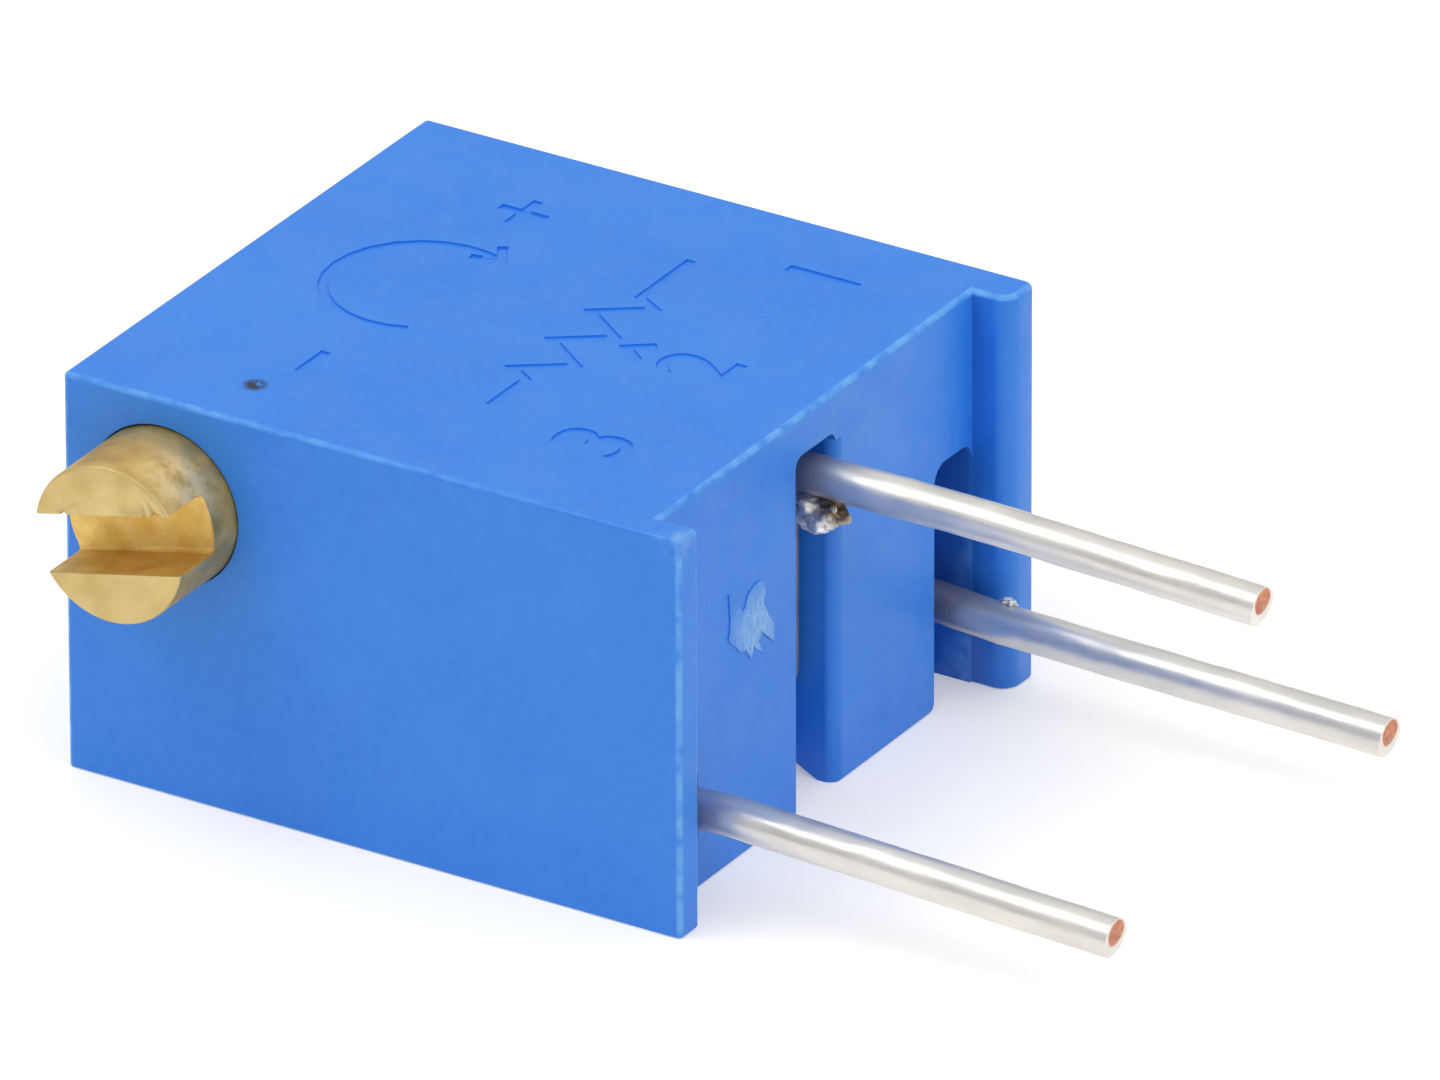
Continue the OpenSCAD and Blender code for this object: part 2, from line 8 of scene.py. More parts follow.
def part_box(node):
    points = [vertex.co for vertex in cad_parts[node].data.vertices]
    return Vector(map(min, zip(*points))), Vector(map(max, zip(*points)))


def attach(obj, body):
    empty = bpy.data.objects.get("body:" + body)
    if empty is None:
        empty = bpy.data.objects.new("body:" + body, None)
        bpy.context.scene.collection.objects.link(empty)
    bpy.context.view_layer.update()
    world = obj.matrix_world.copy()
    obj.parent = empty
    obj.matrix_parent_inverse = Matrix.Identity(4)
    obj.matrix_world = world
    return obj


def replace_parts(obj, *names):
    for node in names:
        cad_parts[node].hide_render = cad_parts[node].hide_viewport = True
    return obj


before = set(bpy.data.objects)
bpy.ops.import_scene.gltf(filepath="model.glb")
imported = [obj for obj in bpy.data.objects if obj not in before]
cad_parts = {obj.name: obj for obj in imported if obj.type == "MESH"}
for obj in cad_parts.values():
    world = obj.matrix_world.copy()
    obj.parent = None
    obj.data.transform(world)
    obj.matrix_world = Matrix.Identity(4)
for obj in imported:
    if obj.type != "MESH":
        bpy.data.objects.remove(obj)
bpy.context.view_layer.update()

MM = 0.001


# The photographer's table: a pale matt floor, a long lens looking down at the pins and the screw,
# and wide soft lamps. The view was solved from the corners of the case.
view_turn = math.radians(31.781)
view_rise = math.radians(26.786)
view_roll = math.radians(-0.173)
view_distance = 269.45 * MM
view_aside = Vector((1.816 * MM, 1.713 * MM))

back = Vector((math.sin(view_turn) * math.cos(view_rise),
               -math.cos(view_turn) * math.cos(view_rise),
               math.sin(view_rise)))
level = Vector((math.cos(view_turn), math.sin(view_turn), 0))
upright = back.cross(level)
right = level * math.cos(view_roll) + upright * math.sin(view_roll)
up = upright * math.cos(view_roll) - level * math.sin(view_roll)

lens = bpy.data.cameras.new("view")
lens.lens = 688.3
lens.sensor_width = 36
lens.clip_start = 0.01
lens.clip_end = 10
camera = bpy.data.objects.new("view", lens)
view_place = back * view_distance + right * view_aside.x + up * view_aside.y
view_axes = Matrix((right, up, back)).transposed().to_4x4()
camera.matrix_world = Matrix.Translation(view_place) @ view_axes
bpy.context.scene.collection.objects.link(camera)
bpy.context.scene.camera = camera
bpy.context.scene.view_settings.view_transform = "Standard"


def soft_lamp(name, place, size, power):
    """A square lamp that faces the middle of the case."""
    light = bpy.data.lights.new(name, "AREA")
    light.size = size
    light.energy = power
    lamp = bpy.data.objects.new(name, light)
    lamp.location = place
    case_middle = Vector((0, 0, 2 * MM))
    lamp.rotation_euler = (case_middle - Vector(place)).to_track_quat("-Z", "Y").to_euler()
    bpy.context.scene.collection.objects.link(lamp)


soft_lamp("window_lamp", (-0.125, -0.122, 0.27), 0.16, 0.18)
soft_lamp("pin_side_lamp", (0.30, -0.05, 0.16), 0.12, 0.132)


def add_node(tree, kind, inputs=(), **settings):
    """Adds a shader node, sets its properties, and sets or links its inputs."""
    made = tree.nodes.new(kind)
    for name, value in settings.items():
        setattr(made, name, value)
    for name, value in dict(inputs).items():
        if isinstance(value, bpy.types.NodeSocket):
            tree.links.new(value, made.inputs[name])
        else:
            made.inputs[name].default_value = value
    return made


# Sky: an even white dome a little brighter overhead, and plain white behind the object
world = bpy.data.worlds.new("studio")
bpy.context.scene.world = world
world.use_nodes = True
sky = world.node_tree
sky.nodes.clear()
direction = add_node(sky, "ShaderNodeTexCoord").outputs["Generated"]
height = add_node(sky, "ShaderNodeSeparateXYZ", {"Vector": direction}).outputs["Z"]
dome_light = add_node(sky, "ShaderNodeMapRange", {
    "Value": height, "From Min": -0.1, "From Max": 0.9, "To Min": 0.385, "To Max": 0.9}).outputs["Result"]
dome = add_node(sky, "ShaderNodeBackground", {"Strength": dome_light})
plain_white = add_node(sky, "ShaderNodeBackground", {"Strength": 1.0})
for shade in (dome, plain_white):
    shade.inputs["Color"].default_value = (1, 1, 1, 1)
seen_by_camera = add_node(sky, "ShaderNodeLightPath").outputs["Is Camera Ray"]
backdrop = add_node(sky, "ShaderNodeMixShader", {
    0: seen_by_camera, 1: dome.outputs[0], 2: plain_white.outputs[0]})
add_node(sky, "ShaderNodeOutputWorld", {"Surface": backdrop.outputs[0]})

# Floor: matt paper that also glows a little where it is seen or mirrored, so that it stays white there
paper_glow = 0.32
bpy.ops.object.select_all(action="DESELECT")
bpy.ops.mesh.primitive_plane_add(size=2, location=(0, 0, -0.002 * MM))
floor = bpy.context.object
floor.name = "floor"
floor_paper = bpy.data.materials.new("floor_paper")
floor_paper.use_nodes = True
paper = floor_paper.node_tree
paper.nodes.clear()
matt_white = add_node(paper, "ShaderNodeBsdfDiffuse", {"Color": (0.93, 0.9, 0.86, 1)})
ray = add_node(paper, "ShaderNodeLightPath")
seen_or_mirrored = add_node(paper, "ShaderNodeMath", {
    0: ray.outputs["Is Camera Ray"], 1: ray.outputs["Is Glossy Ray"]}, operation="MAXIMUM")
any_view = add_node(paper, "ShaderNodeMath", {
    0: seen_or_mirrored.outputs[0], 1: ray.outputs["Is Transmission Ray"]}, operation="MAXIMUM")
lift = add_node(paper, "ShaderNodeMath", {0: any_view.outputs[0], 1: paper_glow}, operation="MULTIPLY")
glow = add_node(paper, "ShaderNodeEmission", {"Color": (1, 1, 1, 1), "Strength": lift.outputs[0]})
lit_paper = add_node(paper, "ShaderNodeAddShader", {0: matt_white.outputs[0], 1: glow.outputs[0]})
add_node(paper, "ShaderNodeOutputMaterial", {"Surface": lit_paper.outputs[0]})
floor.data.materials.append(floor_paper)


# The case: one blue thermoplastic moulding, a block with two standoffs at its terminal face, wire
# channels between them, a bore for the screw and a pocket underneath. Its gate was torn off the
# terminal face, and its marks are sunk in the marked face by the mould.
case_high = Vector(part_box("housing")[1]) / MM
half_l = 3.3
half_w = 3.3
case_h = case_high.z
seat_x = case_high.x
near_standoff_w = 0.35
far_standoff_w = 0.48
rim_r = 0.06
far_inner_r = 0.2
far_outer_r = 0.1
foot_r = 0.03
near_side_y = -half_w + near_standoff_w
far_side_y = half_w - far_standoff_w

# Cutters run out past open faces, overlap one another, and stay a hair away from walls they would touch
overcut = 0.2
overlap = 0.01
hair = 0.003


def point(x, y, z):
    """A point given in millimetres, in metres."""
    return Vector((x, y, z)) * MM


def activate(piece):
    """Makes this piece the only selected one."""
    bpy.ops.object.select_all(action="DESELECT")
    piece.select_set(True)
    bpy.context.view_layer.objects.active = piece


def add_block(name, low_corner, high_corner):
    """A box between two corners given in millimetres."""
    bpy.ops.object.select_all(action="DESELECT")
    middle = (Vector(low_corner) + Vector(high_corner)) / 2 * MM
    bpy.ops.mesh.primitive_cube_add(size=1, location=middle)
    block = bpy.context.object
    block.name = name
    block.scale = (Vector(high_corner) - Vector(low_corner)) * MM
    bpy.ops.object.transform_apply(location=True, rotation=True, scale=True)
    return block


def add_bar(name, start, end, radius, sides=64):
    """A round bar between two points given in millimetres, along any axis."""
    bpy.ops.object.select_all(action="DESELECT")
    along = Vector(end) - Vector(start)
    turn = along.to_track_quat("Z", "Y").to_euler()
    bpy.ops.mesh.primitive_cylinder_add(vertices=sides, radius=radius * MM, depth=along.length * MM,
                                        location=(Vector(start) + Vector(end)) / 2 * MM, rotation=turn)
    bar = bpy.context.object
    bar.name = name
    bpy.ops.object.transform_apply(location=True, rotation=True, scale=True)
    return bar


def add_prism(name, outline, along):
    """A prism from a flat outline of points in millimetres, pushed along a vector."""
    bpy.ops.object.select_all(action="DESELECT")
    bpy.ops.mesh.primitive_circle_add(vertices=len(outline), radius=MM, fill_type="NGON")
    prism = bpy.context.object
    prism.name = name
    for corner, place in zip(prism.data.vertices, outline):
        corner.co = point(*place)
    bpy.ops.object.mode_set(mode="EDIT")
    bpy.ops.mesh.select_all(action="SELECT")
    bpy.ops.mesh.extrude_region_move(TRANSFORM_OT_translate={"value": point(*along)})
    bpy.ops.mesh.select_all(action="SELECT")
    bpy.ops.mesh.normals_make_consistent(inside=False)
    bpy.ops.object.mode_set(mode="OBJECT")
    return prism


def pick(piece, kind, wanted):
    """In edit mode, selects only the edges or faces that are wanted, and counts them. The test is given
    the element and the places of its corners in millimetres."""
    bpy.ops.mesh.select_mode(type=kind)
    bpy.ops.mesh.select_all(action="DESELECT")
    shape = bmesh.from_edit_mesh(piece.data)
    elements = {"EDGE": shape.edges, "FACE": shape.faces}[kind]
    chosen = 0
    for element in elements:
        if wanted(element, [corner.co / MM for corner in element.verts]):
            element.select_set(True)
            chosen += 1
    shape.select_flush_mode()
    bmesh.update_edit_mesh(piece.data)
    return chosen


def near(value, target, reach=0.002):
    """Whether two measures in millimetres are the same."""
    return abs(value - target) < reach


def is_sharp(edge):
    """Whether an edge turns by more than about 30 degrees."""
    return edge.calc_face_angle(0) > 0.5


def bevel_edges(piece, wanted, radius, segments):
    """Rounds the wanted edges of a piece."""
    activate(piece)
    bpy.ops.object.mode_set(mode="EDIT")
    if pick(piece, "EDGE", wanted):
        bpy.ops.mesh.bevel(offset=radius * MM, segments=segments, profile=0.5, affect="EDGES",
                           clamp_overlap=False)
    bpy.ops.object.mode_set(mode="OBJECT")


def combine(piece, tool, operation):
    """Cuts a tool out of a piece, or joins it on, and removes the tool."""
    activate(piece)
    change = piece.modifiers.new(operation, "BOOLEAN")
    change.operation = operation
    change.solver = "EXACT"
    change.object = tool
    bpy.ops.object.modifier_apply(modifier=change.name)
    bpy.data.objects.remove(tool)


def cut(piece, tool):
    """Cuts a tool out of a piece."""
    combine(piece, tool, "DIFFERENCE")


def settle(piece, seam=0.0005):
    """Merges doubles and turns every face outwards."""
    activate(piece)
    bpy.ops.object.mode_set(mode="EDIT")
    bpy.ops.mesh.select_all(action="SELECT")
    bpy.ops.mesh.remove_doubles(threshold=seam * MM)
    bpy.ops.mesh.normals_make_consistent(inside=False)
    bpy.ops.object.mode_set(mode="OBJECT")


case = add_block("case_moulding", (-half_l, -half_w, 0), (half_l, half_w, case_h))
activate(case)
bpy.ops.object.mode_set(mode="EDIT")
for side_y in (near_side_y, far_side_y):
    bpy.ops.mesh.select_all(action="SELECT")
    bpy.ops.mesh.bisect(plane_co=point(0, side_y, 0), plane_no=(0, 1, 0))


def is_standoff_end(face, corners):
    """The test for the two faces that are drawn out to the standoffs."""
    middle_y = sum(corner.y for corner in corners) / len(corners)
    return face.normal.x > 0.9 and not near_side_y < middle_y < far_side_y


pick(case, "FACE", is_standoff_end)
bpy.ops.mesh.extrude_region_move(TRANSFORM_OT_translate={"value": point(seat_x - half_l, 0, 0)})
bpy.ops.object.mode_set(mode="OBJECT")


def upright_at(x, y):
    """The test for upright edges at one place in plan."""
    return lambda edge, ends: all(near(end.x, x) and near(end.y, y) for end in ends)


bevel_edges(case, upright_at(seat_x, far_side_y), far_inner_r, 8)
bevel_edges(case, upright_at(seat_x, half_w), far_outer_r, 5)
sharp_corners = [upright_at(x, y) for x, y in (
    (-half_l, -half_w), (-half_l, half_w), (seat_x, -half_w), (seat_x, near_side_y))]
bevel_edges(case, lambda edge, ends: any(at_corner(edge, ends) for at_corner in sharp_corners)
            or (all(near(end.z, case_h) for end in ends) and is_sharp(edge)), rim_r, 4)
bevel_edges(case, lambda edge, ends: all(near(end.z, 0) for end in ends) and is_sharp(edge), foot_r, 2)

# Wire channels: upright slots with rounded upper corners, and a window beside the near standoff
mid_channel = (-0.48, 0.26)
mid_back_x = 2.48
mid_top_z = 3.86
far_channel = (2.1, far_side_y - hair)
far_top_z = 2.66
near_window = (near_side_y + hair, -2.29)
near_window_z = (0.57, 1.29)
side_back_x = 2.8
land_r = 0.16
land_foot_near_r = 0.55
land_foot_far_r = 0.12


def add_channel(sides, heights, back_x, crown_r):
    """A cutter along X with rounded upper corners, which leaves the terminal face at any height."""
    cutter = add_block("cut", (back_x, sides[0], heights[0]), (seat_x + overcut, sides[1], heights[1]))
    bevel_edges(cutter, lambda edge, ends: all(near(end.z, heights[1]) for end in ends)
                and near(ends[0].y, ends[1].y), crown_r, 6)
    return cutter


def rounding(edge, inward, radius):
    """The flat outline of a cutter that rounds an edge, seen along that edge. Inward is a pair of signs.
    The arc is a hair larger, so that it crosses the walls and doesn't just touch them."""
    edge = Vector(edge)
    inward = Vector(inward)
    middle = edge + inward * radius
    outer = edge - inward * overcut / 2
    outline = [outer, Vector((outer.x, middle.y))]
    for step in range(17):
        angle = math.pi / 2 * step / 16
        outline.append(middle - inward * Vector((math.cos(angle), math.sin(angle))) * (radius + hair))
    outline.append(Vector((middle.x, outer.y)))
    return outline


def narrow_end(prism, outline, along, far_outline):
    """Moves the corners of a prism's far end to another outline with as many points."""
    for place, moved in zip(outline, far_outline):
        far_corner = point(*place) + point(*along)
        corner = min(prism.data.vertices, key=lambda vertex: (vertex.co - far_corner).length)
        corner.co = point(*moved)


cut(case, add_channel(mid_channel, (-overcut, mid_top_z), mid_back_x, 0.12))
cut(case, add_channel(far_channel, (-overcut, far_top_z), side_back_x, 0.2))
cut(case, add_channel(near_window, near_window_z, side_back_x, 0.06))

# The land between the channels has a round upright edge beside the middle pin and a round far foot edge.
# Its near foot edge is sharp in front and rounder and rounder towards the channel's back.
land_y0 = mid_channel[1]
land_y1 = far_channel[0]
upright_rounding = [(x, y, -overcut) for x, y in rounding((half_l, land_y0), (-1, 1), land_r)]
cut(case, add_prism("cut", upright_rounding, (0, 0, mid_top_z - 0.1 + overcut)))
far_foot = [(side_back_x + overlap, y, z) for y, z in rounding((land_y1, 0), (-1, 1), land_foot_far_r)]
cut(case, add_prism("cut", far_foot, (half_l - side_back_x + 0.1, 0, 0)))
hollow_start_x = mid_back_x + overlap
hollow_end_x = 3.08
hollow_end_r = 0.01
near_foot = [(hollow_start_x, y, z) for y, z in rounding((land_y0, 0), (1, 1), land_foot_near_r)]
near_foot_end = [(hollow_end_x, y, z) for y, z in rounding((land_y0, 0), (1, 1), hollow_end_r)]
hollow_run = (hollow_end_x - hollow_start_x, 0, 0)
hollow = add_prism("cut", near_foot, hollow_run)
narrow_end(hollow, near_foot, hollow_run, near_foot_end)
cut(case, hollow)

# Bore and tunnel for the screw, the slot for its clip, the pocket for the ceramic, and the rotor's
# room with its pivot and its end stop
screw_x = -2.15
screw_z = 3.15
head_bore_r = 0.85
head_bore_end_y = -2.25
tunnel_r = 0.8
tunnel_end_y = 1.7
journal_bore_r = 0.37
journal_bore_end_y = 2.42
clip_slot_half_w = 0.67
clip_slot_y = (-2.02, -1.78)
ceramic_top = 1.87
pocket_low = (-2.85, -2.85)
pocket_high = (2.2, 2.85)
pocket_roof = 3.75
rotor_middle = Vector((0.1714, 0.2))
rotor_room_r = 2.0286
pivot_r = 0.45
pivot_z = 2.75
stop_low = (1.8, -0.1, 2.33)
stop_high = (2.4, 0.5, 2.58)
wire_hole_x = (2.1, 2.85)
wire_z = 0.98
wire_r = 0.205
wire_hole_r = wire_r + 0.02
pin_pitch = 2.54


def add_screw_bar(name, start_y, end_y, radius, sides=64):
    """A round bar on the screw's axis."""
    return add_bar(name, (screw_x, start_y, screw_z), (screw_x, end_y, screw_z), radius, sides)


room_floor = (*rotor_middle, ceramic_top - overlap)
rotor_room = add_bar("cut", room_floor, (*rotor_middle, pocket_roof), rotor_room_r, 96)
pivot = add_bar("pivot", (*rotor_middle, pivot_z), (*rotor_middle, pocket_roof + overcut), pivot_r, 48)
cut(rotor_room, pivot)
cut(rotor_room, add_block("stop", stop_low, stop_high))
cut(case, rotor_room)
cut(case, add_block("cut", (*pocket_low, -overcut), (*pocket_high, ceramic_top)))
cut(case, add_screw_bar("cut", -half_w - overcut, head_bore_end_y, head_bore_r, 128))
cut(case, add_screw_bar("cut", head_bore_end_y - overlap, tunnel_end_y, tunnel_r))
cut(case, add_screw_bar("cut", tunnel_end_y - overlap, journal_bore_end_y, journal_bore_r, 48))
cut(case, add_block("cut", (screw_x - clip_slot_half_w, clip_slot_y[0], ceramic_top - overlap),
                    (screw_x + clip_slot_half_w, clip_slot_y[1], screw_z)))
for wire_y in (-pin_pitch, 0, pin_pitch):
    hole_ends = [(x, wire_y, wire_z) for x in wire_hole_x]
    cut(case, add_bar("cut", *hole_ends, wire_hole_r, 48))

# The mouth of the bore is a little rounded
bevel_edges(case, lambda edge, ends: all(near(end.y, -half_w) for end in ends) and is_sharp(edge)
            and (Vector((ends[0].x, ends[0].z)) - Vector((screw_x, screw_z))).length < 1, 0.015, 2)

# The torn skin over the gate: a thin ragged flake on the terminal face, with points at its foot
flake = [
    (-1.72, 2.95), (-1.70, 2.66), (-1.72, 2.45), (-1.55, 2.24), (-1.41, 2.22), (-1.33, 2.07),
    (-1.27, 2.18), (-1.12, 2.05), (-1.19, 2.22), (-1.05, 2.31), (-0.95, 2.22), (-0.88, 2.08),
    (-0.90, 2.26), (-1.00, 2.42), (-1.08, 2.56), (-1.04, 2.70), (-1.10, 2.82), (-1.22, 2.86),
    (-1.38, 2.80), (-1.42, 2.66), (-1.55, 2.64), (-1.64, 2.72)]
flake_t = 0.012
flake_root = 0.02
flake_crown = 0.01
raggedness = 0.03
torn_edge = []
for here, after in zip(flake, flake[1:] + flake[:1]):
    for part in (0, 0.34, 0.67):
        place = Vector(here).lerp(Vector(after), part)
        jitter = [noise.noise(Vector((place.x * 9, place.y * 9, layer))) for layer in (4.3, 9.7)]
        torn_edge.append(place + raggedness * Vector(jitter))
scar = add_prism("scar", [(half_l - flake_root, y, z) for y, z in torn_edge], (flake_t + flake_root, 0, 0))
bpy.ops.object.mode_set(mode="EDIT")
pick(scar, "FACE", lambda face, corners: all(corner.x > half_l for corner in corners))
bpy.ops.mesh.poke(offset=flake_crown * MM)
bpy.ops.object.mode_set(mode="OBJECT")
combine(case, scar, "UNION")

# Marks: pin numbers, the sign for a track with a wiper, and an arrow for the way the screw turns
mark_depth = 0.019
crossing_depth = mark_depth + 0.004
mark_w = 0.11


def sink_line(points, depth=mark_depth):
    """Presses a flat-bottomed line through these points of the marked face, in millimetres."""
    path = [Vector(place) for place in points]
    left = []
    right = []
    for index, here in enumerate(path):
        before = (here - path[index - 1]).normalized()
        after = (path[(index + 1) % len(path)] - here).normalized()
        if index == 0:
            before = after
        if index == len(path) - 1:
            after = before
        across = [Vector((-run.y, run.x)) for run in (before, after)]
        mitre = (across[0] + across[1]).normalized()
        mitre *= mark_w / 2 / mitre.dot(across[0])
        left.append(here + mitre)
        right.append(here - mitre)
    outline = [(x, y, case_h - depth) for x, y in left + right[::-1]]
    cut(case, add_prism("line", outline, (0, 0, 4 * depth)))


def sink_number(text, x, y, size):
    """Presses a number into the marked face, to be read with the pins below it."""
    bpy.ops.object.select_all(action="DESELECT")
    bpy.ops.object.text_add(location=point(x, y, case_h - mark_depth), rotation=(0, 0, math.pi / 2))
    digit = bpy.context.object
    digit.data.body = text
    digit.data.size = size * MM
    digit.data.align_x = "CENTER"
    digit.data.extrude = mark_depth * 2 * MM
    digit.data.offset = 0.012 * MM
    digit.data.resolution_u = 4
    bpy.ops.object.convert(target="MESH")
    bpy.ops.object.transform_apply(location=True, rotation=True, scale=True)
    digit.data.transform(Matrix.Translation(point(0, 0, mark_depth * 2)))
    settle(digit, 0.001)
    cut(case, digit)


number_x = 2.3
number_size = 1.15
for number, number_y in (("1", 2.3), ("2", 0.0), ("3", -1.9)):
    sink_number(number, number_x, number_y, number_size)

# The track's sign is a zigzag between two straight leads, with the wiper's arrowhead beside it
track_x = 0.62
zig = 0.25
zig_pitch = 0.36
zigzag = [(track_x, -1.75), (track_x, -1.1)]
for step in range(6):
    zigzag.append((track_x + (zig if step % 2 else -zig), -0.95 + zig_pitch * step))
zigzag += [(track_x, 1.0), (track_x, 1.95)]
sink_line(zigzag)
sink_line([(1.32, -0.18), (1.08, 0), (1.32, 0.18)])

# The turning arrow, with its head at the plus
arrow_middle = Vector((-1.35, 0.1))
arrow_r = 0.95
arc_start = 65
arc_turn = 230


def arrow_point(angle):
    """A point on the arrow's arc."""
    return arrow_middle + arrow_r * Vector((math.cos(angle), math.sin(angle)))


arc_angles = [math.radians(arc_start + arc_turn * step / 16) for step in range(17)]
sink_line([arrow_point(angle) for angle in arc_angles])
tip = arrow_point(arc_angles[0])
sink_line([tip + Vector((-0.33, -0.06)), tip, tip + Vector((-0.17, 0.29))], crossing_depth)
sink_line([(-1.35, 1.72), (-1.35, 2.28)])
sink_line([(-1.62, 2.0), (-1.08, 2.0)], crossing_depth)
sink_line([(-1.35, -1.6), (-1.35, -2.1)])


def case_wear_and_highlight(x, y, z):
    """1 on the small roundings of the outer edges, where wear and a painted highlight go, 0 on the faces and
    on the far standoff's wide ones.
    """
    if x > seat_x - far_inner_r and y > far_side_y and foot_r / 2 < z < case_h - rim_r + 0.01:
        return 0.0
    planes = (near(x, -half_l), near(x, half_l), near(x, seat_x), near(y, -half_w), near(y, half_w),
              near(z, case_h), near(z, 0), near(y, near_side_y), near(y, far_side_y))
    outside = (x < -half_l + 0.25 or x > half_l - 0.1, abs(y) > half_w - 0.5, z > case_h - 0.1)
    return 1.0 if not any(planes) and sum(outside) >= 2 else 0.0


def mark_points(piece, name, rule):
    """Stores a number on each vertex, from its place in millimetres."""
    marks = piece.data.attributes.new(name, "FLOAT", "POINT")
    for index, vertex in enumerate(piece.data.vertices):
        marks.data[index].value = rule(*(vertex.co / MM))


def smooth_faces(piece, angle=40):
    """Shades a piece smooth up to an angle, with its large faces kept flat."""
    activate(piece)
    bpy.ops.object.shade_smooth_by_angle(angle=math.radians(angle))
    steady = piece.modifiers.new("steady_faces", "WEIGHTED_NORMAL")
    steady.keep_sharp = True
    steady.weight = 100
    bpy.ops.object.modifier_apply(modifier=steady.name)


def torn_skin(x, y, z):
    """1 on the flake, which stands proud of the terminal face, and 0 elsewhere."""
    return 1.0 if half_l + 0.005 < x < half_l + 0.1 and -1.8 < y < -0.8 and 1.9 < z < 3.1 else 0.0


settle(case)
# The small outer roundings carry pale wear and a painted highlight
mark_points(case, "worn_highlit_edge", case_wear_and_highlight)
mark_points(case, "torn_skin", torn_skin)
smooth_faces(case)


def make_finish(name, colour, roughness, metallic=0.0):
    """A new material for one finish, with its Principled shader."""
    finish = bpy.data.materials.new(name)
    finish.use_nodes = True
    surface = finish.node_tree.nodes["Principled BSDF"]
    surface.inputs["Base Color"].default_value = (*colour, 1)
    surface.inputs["Roughness"].default_value = roughness
    surface.inputs["Metallic"].default_value = metallic
    return finish, finish.node_tree, surface


def own_place(tree):
    """The place on the piece, in metres."""
    return add_node(tree, "ShaderNodeTexCoord").outputs["Object"]


def parts_of(tree, vector):
    """The X, Y and Z of a vector."""
    return add_node(tree, "ShaderNodeSeparateXYZ", {"Vector": vector}).outputs


def grain(tree, size, low=0.35, high=0.65, detail=3.0, stretch=(1, 1, 1)):
    """Soft noise between 0 and 1 with spots of about this size in millimetres."""
    spread = add_node(tree, "ShaderNodeMapping", {
        "Vector": own_place(tree), "Scale": stretch}).outputs["Vector"]
    clouds = add_node(tree, "ShaderNodeTexNoise", {
        "Vector": spread, "Scale": 1 / (size * MM), "Detail": detail})
    return add_node(tree, "ShaderNodeMapRange", {
        "Value": clouds.outputs["Fac"], "From Min": low, "From Max": high}).outputs["Result"]


def blend_colours(tree, amount, first, second):
    """A colour that goes from the first to the second."""
    mix = add_node(tree, "ShaderNodeMix", data_type="RGBA")
    for socket, value in ((mix.inputs[0], amount), (mix.inputs[6], first), (mix.inputs[7], second)):
        if isinstance(value, bpy.types.NodeSocket):
            tree.links.new(value, socket)
        else:
            socket.default_value = (*value, 1)
    return mix.outputs[2]


def product(tree, first, second):
    """Two numbers multiplied."""
    return add_node(tree, "ShaderNodeMath", {0: first, 1: second}, operation="MULTIPLY").outputs[0]


def ramp(tree, value, start, end):
    """0 before the start and 1 past the end, both in millimetres."""
    return add_node(tree, "ShaderNodeMapRange", {
        "Value": value, "From Min": start * MM, "From Max": end * MM}).outputs["Result"]


def spot(tree, place, radius, softness):
    """1 near a place given in millimetres, 0 away from it."""
    gap = add_node(tree, "ShaderNodeVectorMath", {
        0: own_place(tree), 1: Vector(place) * MM}, operation="DISTANCE").outputs["Value"]
    return ramp(tree, gap, radius + softness, radius)


def speckle(tree, reach, low, high):
    """A number between low and high that wanders over spots of this size in millimetres."""
    return add_node(tree, "ShaderNodeMapRange", {
        "Value": grain(tree, reach), "To Min": low, "To Max": high}).outputs["Result"]


def attribute(tree, name):
    """A number stored on the vertices."""
    return add_node(tree, "ShaderNodeAttribute", attribute_name=name).outputs["Fac"]


def set_surface(tree, surface, colour, roughness, height, depth):
    """Links a colour, a roughness, and a height map with its depth in millimetres."""
    tree.links.new(colour, surface.inputs["Base Color"])
    tree.links.new(roughness, surface.inputs["Roughness"])
    relief = add_node(tree, "ShaderNodeBump", {"Height": height, "Distance": depth * MM, "Strength": 1.0})
    tree.links.new(relief.outputs["Normal"], surface.inputs["Normal"])


def paint(piece, finish):
    """Gives a piece its one finish."""
    piece.data.materials.clear()
    piece.data.materials.append(finish)


blue_plastic, tree, surface = make_finish("blue_plastic", (0.025, 0.235, 0.85), 0.42)
body_blue = blend_colours(tree, grain(tree, 1.6), (0.021, 0.222, 0.84), (0.029, 0.245, 0.87))
speckled_blue = blend_colours(tree, grain(tree, 0.12, 0.3, 0.8), body_blue, (0.034, 0.256, 0.88))

# The far channel and the corner above it are darker, with painted shade
at = parts_of(tree, own_place(tree))
past_side = ramp(tree, at["Y"], far_side_y - 0.02, far_side_y)
corner_side = product(tree, past_side, ramp(tree, at["Y"], 2.95, 2.85))
below_rim = ramp(tree, at["Z"], case_h - 0.02, case_h - 0.08)
corner_depth = product(tree, ramp(tree, at["X"], 3.55, 3.35), below_rim)
corner_painted_shade = product(tree, corner_side, corner_depth)
corner_shaded_blue = blend_colours(tree, corner_painted_shade, speckled_blue, (0.021, 0.175, 0.68))
# Painted shade inside the far channel, fading out towards its mouth
channel_sides = product(tree, ramp(tree, at["Y"], 2.0, 2.1), ramp(tree, at["Y"], 3.0, 2.9))
channel_height = product(tree, ramp(tree, at["Z"], 0.6, 1.2), ramp(tree, at["Z"], 3.1, 2.8))
in_channel = product(tree, channel_sides, channel_height)
channel_painted_shade = product(tree, in_channel, ramp(tree, at["X"], half_l - 0.01, half_l - 0.08))
recess_shaded_blue = blend_colours(tree, channel_painted_shade, corner_shaded_blue, (0.021, 0.14, 0.56))
